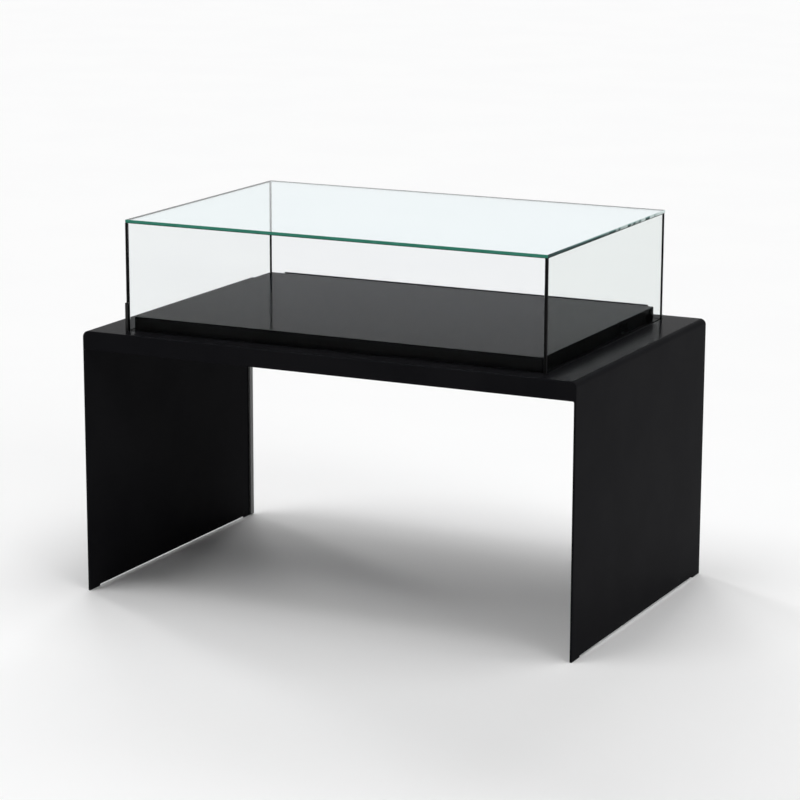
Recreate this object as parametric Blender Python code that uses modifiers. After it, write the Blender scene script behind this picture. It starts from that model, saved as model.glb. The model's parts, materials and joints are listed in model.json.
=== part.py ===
"""Museum table case: a bent-plate table, a raised deck and a glass hood hinged along its rear edge.

Metres, +Z up. +X runs along the table, -Y faces the visitor, and the origin lies on the floor
under the middle of the table.
"""

import math

import bmesh
import bpy
from mathutils import Matrix, Vector

# Fits
FIT = 0.0003
RUN_CLEARANCE = 0.0004
CUT_PAST = 0.003

# Bent plate that makes the table top and both legs
TABLE_LENGTH = 1.400
TABLE_WIDTH = 0.895
TABLE_HEIGHT = 0.708
PLATE = 0.006
BEND_RADIUS = 0.015
BEND_STEPS = 8
FOOT_LENGTH = 0.050
FOOT_NOTCH = 0.005
PAD_THICKNESS = 0.002

# Bars under the table top
APRON_HEIGHT = 0.049
APRON_THICKNESS = 0.006
RIB_COUNT = 3
RIB_END_INSET = 0.300
RIB_THICKNESS = 0.005
RIB_HEIGHT = 0.034

# Channel that covers a cable on the left leg
COVER_WIDTH = 0.018
COVER_DEPTH = 0.005
COVER_WALL = 0.0015

# Glass hood
END_MARGIN = 0.103
SIDE_MARGIN = 0.0535
HOOD_RISE = 0.294
WALL_GLASS = 0.006
TOP_GLASS = 0.008
GLASS_SEAT = 0.002
SEAL = 0.0025
CORNER_BAR = 0.007

# Groove round the deck that takes the lower edge of the hood
GASKET_THICKNESS = 0.0012
GROOVE_OUTER_CLEARANCE = 0.001
GROOVE_INNER_CLEARANCE = 0.0016

# Raised deck
DECK_HEIGHT = 0.035
DECK_SHEET = 0.003
DECK_END_GAP = 0.009
DECK_SIDE_GAP = 0.015
DECK_SHIFT = -0.004
BATTEN_COUNT = 3
BATTEN_END_INSET = 0.180
BATTEN_WIDTH = 0.030
BATTEN_END_GAP = 0.020

# Long hinge behind the hood
HINGE_INSET = 0.045
KNUCKLE_COUNT = 21
KNUCKLE_RADIUS = 0.005
KNUCKLE_LIFT = 0.001
KNUCKLE_GAP = 0.0004
PIN_RADIUS = 0.002
PIN_HEAD_RADIUS = 0.0034
PIN_HEAD = 0.0016
LEAF_THICKNESS = 0.003
LEAF_HEIGHT = 0.034
LEAF_REAR_GAP = 0.0095
OPEN_ANGLE = math.radians(70)
STOP_LENGTH = 0.060
STOP_END_INSET = 0.155
STOP_NEAR = 0.010
STOP_DEPTH = 0.014
SCREW_COUNT = 8
SCREW_END_INSET = 0.045
SCREW_EDGE_INSET = 0.007
SCREW_RADIUS = 0.002
SCREW_HEAD_RADIUS = 0.0038
SCREW_HEAD = 0.0022
SCREW_RIM = 0.0006
SCREW_SOCKET_RADIUS = 0.0014
SCREW_SOCKET_DEPTH = 0.0013

# Lock at the front left corner of the hood
LOCK_WIDTH = 0.008
LOCK_DEPTH = 0.008
LOCK_HEIGHT = 0.075
LOCK_EDGE = 0.0007
BOLT_RADIUS = 0.0019
BOLT_LENGTH = 0.040
BOLT_THROW = 0.010
BOLT_TIP = 0.0006
STEM_RADIUS = 0.001
STEM_LEFT_ENGAGED = 0.007
STEM_END_GAP = 0.005
FLANGE_LIP = 0.0004
FLANGE_HEIGHT = 0.003
SOCKET_RADIUS = 0.0013
SOCKET_DEPTH = 0.002
CAP_HEIGHT = 0.003
KEY_HOLE_RADIUS = 0.0015
KEEPER_SIZE = 0.014
KEEPER_HEIGHT = 0.010
KEEPER_CLEARANCE = 0.0006

ROUND_STEPS = 16
CROWN_STEPS = 4
HEXAGON = 6

# Sizes that follow from those above
HALF_LENGTH = TABLE_LENGTH / 2
HALF_WIDTH = TABLE_WIDTH / 2
UNDER_TOP = TABLE_HEIGHT - PLATE - FIT
APRON_BOTTOM = TABLE_HEIGHT - APRON_HEIGHT
FOOT_BOTTOM = PAD_THICKNESS + FIT
HOOD_X = HALF_LENGTH - END_MARGIN
HOOD_Y = HALF_WIDTH - SIDE_MARGIN
HOOD_TOP = TABLE_HEIGHT + HOOD_RISE
WALL_BOTTOM = TABLE_HEIGHT - GLASS_SEAT
WALL_TOP = HOOD_TOP - TOP_GLASS - FIT
JOINT_WIDTH = FIT + SEAL + FIT
GROOVE_FLOOR = WALL_BOTTOM - FIT - GASKET_THICKNESS - FIT
DECK_X = HOOD_X - WALL_GLASS - DECK_END_GAP
DECK_Y = HOOD_Y - WALL_GLASS - DECK_SIDE_GAP
DECK_TOP = TABLE_HEIGHT + DECK_HEIGHT
HINGE_OFFSET = KNUCKLE_RADIUS + KNUCKLE_LIFT
HINGE_AXIS = Vector((0, HOOD_Y + HINGE_OFFSET, TABLE_HEIGHT + HINGE_OFFSET))
HINGE_X = HOOD_X - HINGE_INSET
LEAF_NEAR = FIT - HINGE_OFFSET
LEAF_FAR = LEAF_NEAR + LEAF_THICKNESS
BORE_RADIUS = PIN_RADIUS + RUN_CLEARANCE
LOCK_AXIS = Vector((-HOOD_X + LOCK_WIDTH / 2, -HOOD_Y - FIT - LOCK_DEPTH / 2, 0))
LOCK_BOTTOM = TABLE_HEIGHT + FIT
LOCK_TOP = LOCK_BOTTOM + LOCK_HEIGHT
CAP_BOTTOM = LOCK_TOP - CAP_HEIGHT
FLANGE_BOTTOM = CAP_BOTTOM - FIT - FLANGE_HEIGHT
LOCK_BORE_RADIUS = BOLT_RADIUS + RUN_CLEARANCE
FLANGE_RADIUS = LOCK_BORE_RADIUS + FLANGE_LIP
COUNTERBORE_RADIUS = FLANGE_RADIUS + RUN_CLEARANCE
BOLT_BOTTOM = LOCK_BOTTOM + FIT
BOLT_TOP = BOLT_BOTTOM + BOLT_LENGTH
STEM_BOTTOM = BOLT_TOP - BOLT_THROW - STEM_LEFT_ENGAGED
KEEPER_RADIUS = BOLT_RADIUS + KEEPER_CLEARANCE
LEAF_BACK = HALF_WIDTH - LEAF_REAR_GAP
LEAF_TOP = HINGE_AXIS.z + LEAF_FAR
SCREW_Y = LEAF_BACK - SCREW_EDGE_INSET

for leftover in list(bpy.data.objects):
    bpy.data.objects.remove(leftover)

PARTS = bpy.data.collections.new("museum_table_case")
CUTTERS = bpy.data.collections.new("cutters")
for group in (PARTS, CUTTERS):
    bpy.context.scene.collection.children.link(group)


def finish(name, colour, roughness, metallic=0.0, transmission=0.0):
    """A plain Principled finish."""
    material = bpy.data.materials.new(name)
    material.use_nodes = True
    shader = material.node_tree.nodes["Principled BSDF"]
    shader.inputs["Base Color"].default_value = (*colour, 1.0)
    shader.inputs["Roughness"].default_value = roughness
    shader.inputs["Metallic"].default_value = metallic
    shader.inputs["Transmission Weight"].default_value = transmission
    return material


BLACK_COAT = finish("black_coat", (0.008, 0.008, 0.009), 0.35)
DECK_LACQUER = finish("deck_lacquer", (0.010, 0.010, 0.011), 0.12)
CLEAR_GLASS = finish("clear_glass", (0.90, 0.97, 0.95), 0.02, transmission=1.0)
SEAL_BLACK = finish("seal_black", (0.006, 0.006, 0.006), 0.55)
HINGE_BLACK = finish("hinge_black", (0.010, 0.010, 0.011), 0.40, metallic=0.5)
PIN_STEEL = finish("pin_steel", (0.55, 0.55, 0.56), 0.30, metallic=1.0)
COVER_GREY = finish("cover_grey", (0.16, 0.16, 0.16), 0.45, metallic=0.6)
PAD_BLACK = finish("pad_black", (0.012, 0.012, 0.012), 0.70)
BATTEN_WOOD = finish("batten_wood", (0.45, 0.30, 0.17), 0.60)


def add(name, mesh, place, material=None, parent=None):
    """An object at a world place. Without a material it is a cutter."""
    item = bpy.data.objects.new(name, mesh)
    item.location = Vector(place)
    if parent:
        item.parent = parent
        item.matrix_parent_inverse = parent.matrix_world.inverted()
    if material:
        mesh.materials.append(material)
        PARTS.objects.link(item)
    else:
        CUTTERS.objects.link(item)
        item.hide_render = True
        item.display_type = "WIRE"
    return item


def axis_empty(name, point, parent=None):
    """An empty on a joint's axis, which carries the pieces that move there."""
    empty = bpy.data.objects.new(name, None)
    empty.location = point
    if parent:
        empty.parent = parent
        empty.matrix_parent_inverse = parent.matrix_world.inverted()
    PARTS.objects.link(empty)
    bpy.context.view_layer.update()
    return empty


def mesh_from(name, shape):
    mesh = bpy.data.meshes.new(name)
    shape.to_mesh(mesh)
    shape.free()
    return mesh


def block(name, low, high, material=None, parent=None):
    """A box between two world corners."""
    low = Vector(low)
    high = Vector(high)
    shape = bmesh.new()
    bmesh.ops.create_cube(shape, size=1.0)
    bmesh.ops.scale(shape, vec=high - low, verts=shape.verts)
    return add(name, mesh_from(name, shape), (low + high) / 2, material, parent)


def arc(centre, radius, start, end, steps=BEND_STEPS):
    """Points on a circle from one angle in degrees to another."""
    angles = [math.radians(start + (end - start) * i / steps) for i in range(steps + 1)]
    return [(centre[0] + radius * math.cos(a), centre[1] + radius * math.sin(a)) for a in angles]


# How an outline's own x and y lie in the world, and which way it is extruded
PLAN = Matrix.Identity(4)
FRONT = Matrix.Rotation(math.pi / 2, 4, "X")
SIDE = Matrix.Rotation(math.pi / 2, 4, "Z") @ FRONT


def outline(name, loops, depth, view, place, material=None, parent=None):
    """A flat outline of one or more loops, extruded by depth about its own plane."""
    curve = bpy.data.curves.new(name, "CURVE")
    curve.dimensions = "2D"
    curve.fill_mode = "BOTH"
    curve.extrude = depth / 2
    for loop in loops:
        spline = curve.splines.new("POLY")
        spline.points.add(len(loop) - 1)
        spline.use_cyclic_u = True
        for point, (x, y) in zip(spline.points, loop):
            point.co = (x, y, 0, 1)
    drawn = bpy.data.objects.new(name + "_curve", curve)
    bpy.context.scene.collection.objects.link(drawn)
    bpy.context.view_layer.update()
    graph = bpy.context.evaluated_depsgraph_get()
    filled = bpy.data.meshes.new_from_object(drawn.evaluated_get(graph))
    bpy.data.objects.remove(drawn)
    bpy.data.curves.remove(curve)
    shape = bmesh.new()
    shape.from_mesh(filled)
    bpy.data.meshes.remove(filled)
    bmesh.ops.remove_doubles(shape, verts=shape.verts, dist=FIT / 100)
    bmesh.ops.transform(shape, matrix=view, verts=shape.verts)
    bmesh.ops.recalc_face_normals(shape, faces=shape.faces)
    return add(name, mesh_from(name, shape), place, material, parent)


def spread(count, half_span):
    """Evenly spaced places from one end of a span to the other, about its middle."""
    if count == 1:
        return [0.0]
    return [half_span * (2 * i / (count - 1) - 1) for i in range(count)]


def rectangle(half_x, half_y):
    return [(-half_x, -half_y), (half_x, -half_y), (half_x, half_y), (-half_x, half_y)]


def turned(name, profile, place, material=None, parent=None, ring=False, lying=False):
    """A profile of (radius, height) points, down its outer side, turned about its axis.

    A ring's profile closes on itself. A lying piece has its axis along X.
    """
    shape = bmesh.new()
    points = [shape.verts.new((radius, 0, height)) for radius, height in profile]
    for first, second in zip(points, points[1:]):
        shape.edges.new((first, second))
    if ring:
        shape.edges.new((points[-1], points[0]))
    item = add(name, mesh_from(name, shape), place, material, parent)
    screw = item.modifiers.new("turn", "SCREW")
    screw.steps = ROUND_STEPS
    screw.render_steps = ROUND_STEPS
    screw.use_merge_vertices = True
    screw.merge_threshold = FIT / 100
    screw.use_smooth_shade = True
    if lying:
        item.rotation_euler = (0, math.pi / 2, 0)
    return item


def upright_cutter(name, places, radius, low, high, sides=ROUND_STEPS):
    """Upright bars of a round or many-sided section, between two heights."""
    shape = bmesh.new()
    for x, y in places:
        bmesh.ops.create_cone(
            shape,
            cap_ends=True,
            segments=sides,
            radius1=radius,
            radius2=radius,
            depth=high - low,
            matrix=Matrix.Translation((x, y, (low + high) / 2)),
        )
    return add(name, mesh_from(name, shape), (0, 0, 0))


def boolean(part, other, operation="DIFFERENCE"):
    modifier = part.modifiers.new(other.name, "BOOLEAN")
    modifier.operation = operation
    modifier.object = other


def each_corner():
    """The four corners seen from above, as (name, x sign, y sign)."""
    for end, x_sign in (("left", -1), ("right", 1)):
        for edge, y_sign in (("front", -1), ("rear", 1)):
            yield edge + "_" + end, x_sign, y_sign


def shell_profile():
    """The bent plate seen from the front: up one leg, over the top and down the other."""
    outer_right = arc((HALF_LENGTH - BEND_RADIUS, TABLE_HEIGHT - BEND_RADIUS), BEND_RADIUS, 0, 90)
    inner_right = arc((HALF_LENGTH - BEND_RADIUS, TABLE_HEIGHT - BEND_RADIUS), BEND_RADIUS - PLATE, 90, 0)
    right = [(HALF_LENGTH, FOOT_BOTTOM)] + outer_right
    right_inside = inner_right + [(HALF_LENGTH - PLATE, FOOT_BOTTOM)]
    left = [(-x, z) for x, z in reversed(right)]
    left_inside = [(-x, z) for x, z in reversed(right_inside)]
    return right + left + left_inside + right_inside


def make_table(bolt_hole, screw_holes):
    shell = outline("table_shell", [shell_profile()], TABLE_WIDTH, FRONT, (0, 0, 0), BLACK_COAT)
    groove_outer = rectangle(HOOD_X + GROOVE_OUTER_CLEARANCE, HOOD_Y + GROOVE_OUTER_CLEARANCE)
    groove_inner = rectangle(
        HOOD_X - WALL_GLASS - GROOVE_INNER_CLEARANCE, HOOD_Y - WALL_GLASS - GROOVE_INNER_CLEARANCE
    )
    groove_height = TABLE_HEIGHT + CUT_PAST - GROOVE_FLOOR
    groove_middle = (0, 0, GROOVE_FLOOR + groove_height / 2)
    groove = outline("groove_cutter", [groove_outer, groove_inner], groove_height, PLAN, groove_middle)
    boolean(shell, groove)
    notch = block(
        "notch_cutter",
        (-HALF_LENGTH - CUT_PAST, -HALF_WIDTH + FOOT_LENGTH, -CUT_PAST),
        (HALF_LENGTH + CUT_PAST, HALF_WIDTH - FOOT_LENGTH, FOOT_NOTCH),
    )
    boolean(shell, notch)
    boolean(shell, bolt_hole)
    boolean(shell, screw_holes)

    for corner, x_sign, y_sign in each_corner():
        outer = Vector((x_sign * HALF_LENGTH, y_sign * HALF_WIDTH, 0))
        inner = Vector((x_sign * (HALF_LENGTH - PLATE), y_sign * (HALF_WIDTH - FOOT_LENGTH), PAD_THICKNESS))
        low = [min(a, b) for a, b in zip(outer, inner)]
        high = [max(a, b) for a, b in zip(outer, inner)]
        block("foot_pad_" + corner, low, high, PAD_BLACK)


def make_bars_under_top():
    half_apron = HALF_LENGTH - PLATE - FIT
    corner_radius = BEND_RADIUS - PLATE
    corner_centre = (half_apron - corner_radius, UNDER_TOP - corner_radius)
    right_corner = arc(corner_centre, corner_radius, 0, 90)
    left_corner = [(-x, z) for x, z in reversed(right_corner)]
    apron = [(half_apron, APRON_BOTTOM)] + right_corner + left_corner + [(-half_apron, APRON_BOTTOM)]
    apron_y = HALF_WIDTH - APRON_THICKNESS / 2
    outline("front_apron", [apron], APRON_THICKNESS, FRONT, (0, -apron_y, 0), BLACK_COAT)
    outline("rear_apron", [apron], APRON_THICKNESS, FRONT, (0, apron_y, 0), BLACK_COAT)

    rib_end = HALF_WIDTH - APRON_THICKNESS - FIT
    for number, middle in enumerate(spread(RIB_COUNT, HALF_LENGTH - RIB_END_INSET), 1):
        block(
            f"cross_rib_{number}",
            (middle - RIB_THICKNESS / 2, -rib_end, UNDER_TOP - RIB_HEIGHT),
            (middle + RIB_THICKNESS / 2, rib_end, UNDER_TOP),
            BLACK_COAT,
        )


def make_cable_cover():
    """A channel whose open side faces the inside of the left leg."""
    leg_face = -HALF_LENGTH + PLATE + FIT
    rear = HALF_WIDTH
    front = rear - COVER_WIDTH
    channel = [
        (leg_face, front),
        (leg_face + COVER_DEPTH, front),
        (leg_face + COVER_DEPTH, rear),
        (leg_face, rear),
        (leg_face, rear - COVER_WALL),
        (leg_face + COVER_DEPTH - COVER_WALL, rear - COVER_WALL),
        (leg_face + COVER_DEPTH - COVER_WALL, front + COVER_WALL),
        (leg_face, front + COVER_WALL),
    ]
    length = APRON_BOTTOM - FIT - FOOT_BOTTOM
    outline("cable_cover", [channel], length, PLAN, (0, 0, FOOT_BOTTOM + length / 2), COVER_GREY)


def make_deck():
    """A folded tray, open below, set a little left of the middle on bars that stand on the table top."""
    tray_low = (DECK_SHIFT - DECK_X, -DECK_Y, TABLE_HEIGHT + FIT)
    tray = block("deck_tray", tray_low, (DECK_SHIFT + DECK_X, DECK_Y, DECK_TOP), DECK_LACQUER)
    shape = bmesh.new()
    shape.from_mesh(tray.data)
    lowest = min(shape.faces, key=lambda face: face.calc_center_median().z)
    bmesh.ops.delete(shape, geom=[lowest], context="FACES_ONLY")
    shape.to_mesh(tray.data)
    shape.free()
    sheet = tray.modifiers.new("sheet", "SOLIDIFY")
    sheet.thickness = DECK_SHEET
    sheet.offset = -1
    sheet.use_even_offset = True

    batten_end = DECK_Y - DECK_SHEET - BATTEN_END_GAP
    for number, place in enumerate(spread(BATTEN_COUNT, DECK_X - BATTEN_END_INSET), 1):
        middle = DECK_SHIFT + place
        block(
            f"deck_batten_{number}",
            (middle - BATTEN_WIDTH / 2, -batten_end, TABLE_HEIGHT + FIT),
            (middle + BATTEN_WIDTH / 2, batten_end, DECK_TOP - DECK_SHEET - FIT),
            BATTEN_WOOD,
        )


def make_gaskets():
    low = GROOVE_FLOOR + FIT
    high = low + GASKET_THICKNESS
    inside_x = HOOD_X - WALL_GLASS
    inside_y = HOOD_Y - WALL_GLASS
    side_end = inside_y - FIT
    block("gasket_front", (-HOOD_X, -HOOD_Y, low), (HOOD_X, -inside_y, high), SEAL_BLACK)
    block("gasket_rear", (-HOOD_X, inside_y, low), (HOOD_X, HOOD_Y, high), SEAL_BLACK)
    block("gasket_left", (-HOOD_X, -side_end, low), (-inside_x, side_end, high), SEAL_BLACK)
    block("gasket_right", (inside_x, -side_end, low), (HOOD_X, side_end, high), SEAL_BLACK)


def make_hood(hood):
    """Square bars join the panes at the front corners, and thin beads join the sides to the rear pane."""
    top_low = (-HOOD_X, -HOOD_Y, HOOD_TOP - TOP_GLASS)
    block("glass_top", top_low, (HOOD_X, HOOD_Y, HOOD_TOP), CLEAR_GLASS, hood)
    inside_x = HOOD_X - WALL_GLASS
    inside_y = HOOD_Y - WALL_GLASS
    bar_x = HOOD_X - CORNER_BAR
    bar_y = HOOD_Y - CORNER_BAR
    front_x = bar_x - FIT
    side_front = -bar_y + FIT
    side_rear = inside_y - JOINT_WIDTH
    plans = {
        "glass_front": ((-front_x, -HOOD_Y), (front_x, -inside_y)),
        "glass_rear": ((-HOOD_X, inside_y), (HOOD_X, HOOD_Y)),
        "glass_left": ((-HOOD_X, side_front), (-inside_x, side_rear)),
        "glass_right": ((inside_x, side_front), (HOOD_X, side_rear)),
        "corner_seal_front_left": ((-HOOD_X, -HOOD_Y), (-bar_x, -bar_y)),
        "corner_seal_front_right": ((bar_x, -HOOD_Y), (HOOD_X, -bar_y)),
        "corner_seal_rear_left": ((-HOOD_X, side_rear + FIT), (-inside_x, inside_y - FIT)),
        "corner_seal_rear_right": ((inside_x, side_rear + FIT), (HOOD_X, inside_y - FIT)),
    }
    for name, (low, high) in plans.items():
        material = CLEAR_GLASS if name.startswith("glass") else SEAL_BLACK
        block(name, (*low, WALL_BOTTOM), (*high, WALL_TOP), material, hood)


def knuckle_gaps(name, wanted, place):
    """Boxes round the knuckles that belong to the other leaf: wanted is 0 for even ones, 1 for odd ones."""
    pitch = 2 * HINGE_X / KNUCKLE_COUNT
    reach = 2 * HINGE_OFFSET
    shape = bmesh.new()
    for i in range(wanted, KNUCKLE_COUNT, 2):
        low = -HINGE_X + i * pitch - KNUCKLE_GAP / 2
        high = low + pitch + KNUCKLE_GAP
        if i == 0:
            low -= KNUCKLE_GAP
        if i == KNUCKLE_COUNT - 1:
            high += KNUCKLE_GAP
        middle = Matrix.Translation(((low + high) / 2, 0, 0))
        size = Matrix.Diagonal((high - low, reach, reach, 1))
        bmesh.ops.create_cube(shape, size=1.0, matrix=middle @ size)
    return add(name, mesh_from(name, shape), place)


def make_leaf(name, plate_low, plate_high, gaps, parent=None):
    """A barrel round the hinge axis joined to a flat leaf, bored for the pin and cut for the other leaf."""
    barrel = [(0, HINGE_X), (KNUCKLE_RADIUS, HINGE_X), (KNUCKLE_RADIUS, -HINGE_X), (0, -HINGE_X)]
    leaf = turned(name, barrel, HINGE_AXIS, HINGE_BLACK, parent, lying=True)
    plate = block(name + "_plate", HINGE_AXIS + Vector(plate_low), HINGE_AXIS + Vector(plate_high))
    boolean(leaf, plate, "UNION")
    boolean(leaf, knuckle_gaps(name + "_gaps", gaps, HINGE_AXIS))
    bore_end = HINGE_X + CUT_PAST
    bore_profile = [(0, bore_end), (BORE_RADIUS, bore_end), (BORE_RADIUS, -bore_end), (0, -bore_end)]
    boolean(leaf, turned(name + "_bore", bore_profile, HINGE_AXIS, lying=True))
    return leaf


def make_hinge(hood, screw_places, screw_holes):
    moving_top = LEAF_HEIGHT - HINGE_OFFSET
    fixed_back = LEAF_BACK - HINGE_AXIS.y
    make_leaf("hinge_moving_leaf", (-HINGE_X, LEAF_NEAR, 0), (HINGE_X, LEAF_FAR, moving_top), 0, hood)
    fixed = make_leaf("hinge_fixed_leaf", (-HINGE_X, 0, LEAF_NEAR), (HINGE_X, fixed_back, LEAF_FAR), 1)
    boolean(fixed, screw_holes)
    make_hinge_screws(screw_places)

    shank = HINGE_X + FIT
    pin = [
        (0, shank + PIN_HEAD),
        (PIN_HEAD_RADIUS, shank + PIN_HEAD / 2),
        (PIN_HEAD_RADIUS, shank),
        (PIN_RADIUS, shank),
        (PIN_RADIUS, -shank),
        (PIN_HEAD_RADIUS, -shank),
        (PIN_HEAD_RADIUS, -shank - PIN_HEAD / 2),
        (0, -shank - PIN_HEAD),
    ]
    turned("hinge_pin", pin, HINGE_AXIS, PIN_STEEL, lying=True)
    make_hinge_stops()


def make_hinge_screws(places):
    """Button-head screws with hexagon sockets, through the fixed leaf into the table top."""
    seat = LEAF_TOP + FIT
    head_top = seat + SCREW_HEAD
    rise = SCREW_HEAD - SCREW_RIM
    crown_radius = (SCREW_HEAD_RADIUS**2 + rise**2) / (2 * rise)
    crown_edge = 90 - math.degrees(math.asin(SCREW_HEAD_RADIUS / crown_radius))
    crown = arc((0, head_top - crown_radius), crown_radius, 90, crown_edge, CROWN_STEPS)
    shank_end = TABLE_HEIGHT - PLATE
    shank = [(SCREW_HEAD_RADIUS, seat), (SCREW_RADIUS, seat), (SCREW_RADIUS, shank_end), (0, shank_end)]
    socket_floor = head_top - SCREW_SOCKET_DEPTH
    sockets = upright_cutter(
        "screw_socket_cutter", places, SCREW_SOCKET_RADIUS, socket_floor, head_top + CUT_PAST, HEXAGON
    )
    for number, (x, y) in enumerate(places, 1):
        screw = turned(f"hinge_screw_{number}", crown + shank, (x, y, 0), PIN_STEEL)
        boolean(screw, sockets)


def make_hinge_stops():
    """Wedges whose upper face lies just under the moving leaf when the hood is fully open."""
    sine = math.sin(OPEN_ANGLE)
    cosine = math.cos(OPEN_ANGLE)

    def opened_leaf(back):
        along = (back - LEAF_FAR * cosine) / sine
        return -LEAF_FAR * sine + along * cosine

    far = STOP_NEAR + STOP_DEPTH
    seat = LEAF_FAR + FIT
    rest_gap = FIT / sine
    wedge = [
        (STOP_NEAR, seat),
        (far, seat),
        (far, opened_leaf(far) - rest_gap),
        (STOP_NEAR, opened_leaf(STOP_NEAR) - rest_gap),
    ]
    for end, x_sign in (("left", -1), ("right", 1)):
        place = HINGE_AXIS + Vector((x_sign * (HINGE_X - STOP_END_INSET), 0, 0))
        outline("hinge_stop_" + end, [wedge], STOP_LENGTH, SIDE, place, SEAL_BLACK)


def make_lock(hood, bolt_hole):
    lock = axis_empty("lock_axis", LOCK_AXIS, hood)
    half = Vector((LOCK_WIDTH / 2, LOCK_DEPTH / 2, 0))
    housing = block(
        "lock_housing",
        LOCK_AXIS - half + Vector((0, 0, LOCK_BOTTOM)),
        LOCK_AXIS + half + Vector((0, 0, LOCK_TOP)),
        HINGE_BLACK,
        lock,
    )
    edges = housing.modifiers.new("edges", "BEVEL")
    edges.width = LOCK_EDGE
    edges.segments = 2
    bore = [
        (0, LOCK_TOP + CUT_PAST),
        (COUNTERBORE_RADIUS, LOCK_TOP + CUT_PAST),
        (COUNTERBORE_RADIUS, FLANGE_BOTTOM - FIT),
        (LOCK_BORE_RADIUS, FLANGE_BOTTOM - FIT),
        (LOCK_BORE_RADIUS, LOCK_BOTTOM - CUT_PAST),
        (0, LOCK_BOTTOM - CUT_PAST),
    ]
    boolean(housing, turned("lock_bore_cutter", bore, LOCK_AXIS))

    cap_radius = COUNTERBORE_RADIUS - FIT
    cap = [
        (KEY_HOLE_RADIUS, LOCK_TOP),
        (cap_radius, LOCK_TOP),
        (cap_radius, CAP_BOTTOM),
        (KEY_HOLE_RADIUS, CAP_BOTTOM),
    ]
    turned("lock_cap", cap, LOCK_AXIS, HINGE_BLACK, lock, ring=True)

    flange_top = FLANGE_BOTTOM + FLANGE_HEIGHT
    flange_and_stem = [
        (0, flange_top),
        (FLANGE_RADIUS, flange_top),
        (FLANGE_RADIUS, FLANGE_BOTTOM),
        (STEM_RADIUS, FLANGE_BOTTOM),
        (STEM_RADIUS, STEM_BOTTOM),
        (0, STEM_BOTTOM),
    ]
    spindle = turned("lock_spindle", flange_and_stem, LOCK_AXIS, PIN_STEEL, lock)
    socket_floor = flange_top - SOCKET_DEPTH
    socket = upright_cutter(
        "key_socket_cutter", [LOCK_AXIS.xy], SOCKET_RADIUS, socket_floor, flange_top + CUT_PAST, HEXAGON
    )
    boolean(spindle, socket)

    bolt_bore = STEM_RADIUS + RUN_CLEARANCE
    bore_bottom = STEM_BOTTOM - STEM_END_GAP
    bolt = [
        (0, bore_bottom),
        (bolt_bore, bore_bottom),
        (bolt_bore, BOLT_TOP),
        (BOLT_RADIUS, BOLT_TOP),
        (BOLT_RADIUS, BOLT_BOTTOM + BOLT_TIP),
        (BOLT_RADIUS - BOLT_TIP, BOLT_BOTTOM),
        (0, BOLT_BOTTOM),
    ]
    turned("lock_bolt", bolt, LOCK_AXIS, PIN_STEEL, lock)

    keeper_half = Vector((KEEPER_SIZE / 2, KEEPER_SIZE / 2, 0))
    keeper = block(
        "bolt_keeper",
        LOCK_AXIS - keeper_half + Vector((0, 0, UNDER_TOP - KEEPER_HEIGHT)),
        LOCK_AXIS + keeper_half + Vector((0, 0, UNDER_TOP)),
        HINGE_BLACK,
    )
    boolean(keeper, bolt_hole)


hood_axis = axis_empty("hood_axis", HINGE_AXIS)
top_above = LEAF_TOP + CUT_PAST
top_below = TABLE_HEIGHT - PLATE - CUT_PAST
screw_row = [(x, SCREW_Y) for x in spread(SCREW_COUNT, HINGE_X - SCREW_END_INSET)]
screw_hole = SCREW_RADIUS + RUN_CLEARANCE
screw_cutter = upright_cutter("screw_hole_cutter", screw_row, screw_hole, top_below, top_above)
bolt_hole_end = UNDER_TOP - KEEPER_HEIGHT - CUT_PAST
bolt_cutter = upright_cutter("bolt_hole_cutter", [LOCK_AXIS.xy], KEEPER_RADIUS, bolt_hole_end, top_above)
make_table(bolt_cutter, screw_cutter)
make_bars_under_top()
make_cable_cover()
make_deck()
make_gaskets()
make_hood(hood_axis)
make_hinge(hood_axis, screw_row, screw_cutter)
make_lock(hood_axis, bolt_cutter)
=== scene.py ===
"""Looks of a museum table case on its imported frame: bent-plate table, raised deck, glass hood.

Metres, with +Z up, +X along the table and -Y to the visitor. New pieces are worked out with numpy,
ride on a body of the frame, and take procedural finishes on Object coordinates.
"""

import json
import math

import bmesh
import bpy
import numpy as np
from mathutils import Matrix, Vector


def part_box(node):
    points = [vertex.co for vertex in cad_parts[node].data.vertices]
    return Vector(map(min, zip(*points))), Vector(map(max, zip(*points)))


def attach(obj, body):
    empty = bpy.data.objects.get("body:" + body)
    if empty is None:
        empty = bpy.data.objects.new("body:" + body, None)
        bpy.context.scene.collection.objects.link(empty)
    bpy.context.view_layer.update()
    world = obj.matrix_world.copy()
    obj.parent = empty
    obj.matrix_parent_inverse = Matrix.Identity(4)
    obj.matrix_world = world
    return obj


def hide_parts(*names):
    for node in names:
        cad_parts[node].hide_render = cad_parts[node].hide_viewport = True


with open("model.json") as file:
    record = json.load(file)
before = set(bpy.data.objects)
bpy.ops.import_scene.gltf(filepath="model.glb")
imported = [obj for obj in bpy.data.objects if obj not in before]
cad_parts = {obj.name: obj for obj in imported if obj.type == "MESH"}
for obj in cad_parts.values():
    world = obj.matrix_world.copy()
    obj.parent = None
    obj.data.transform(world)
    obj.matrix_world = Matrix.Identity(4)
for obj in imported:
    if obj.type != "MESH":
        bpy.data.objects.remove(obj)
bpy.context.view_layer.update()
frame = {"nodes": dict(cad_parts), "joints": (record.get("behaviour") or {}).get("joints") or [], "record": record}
cad_nodes = frame["nodes"]

X, Y, Z = range(3)
CORNERS = ("front_left", "front_right", "rear_left", "rear_right")
SAME_POINT = 1e-6
SAME_PLANE = 100 * SAME_POINT
SHARP = math.radians(38)
ROUND_SIDES = 32
FLATS = "flat_faces"

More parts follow.
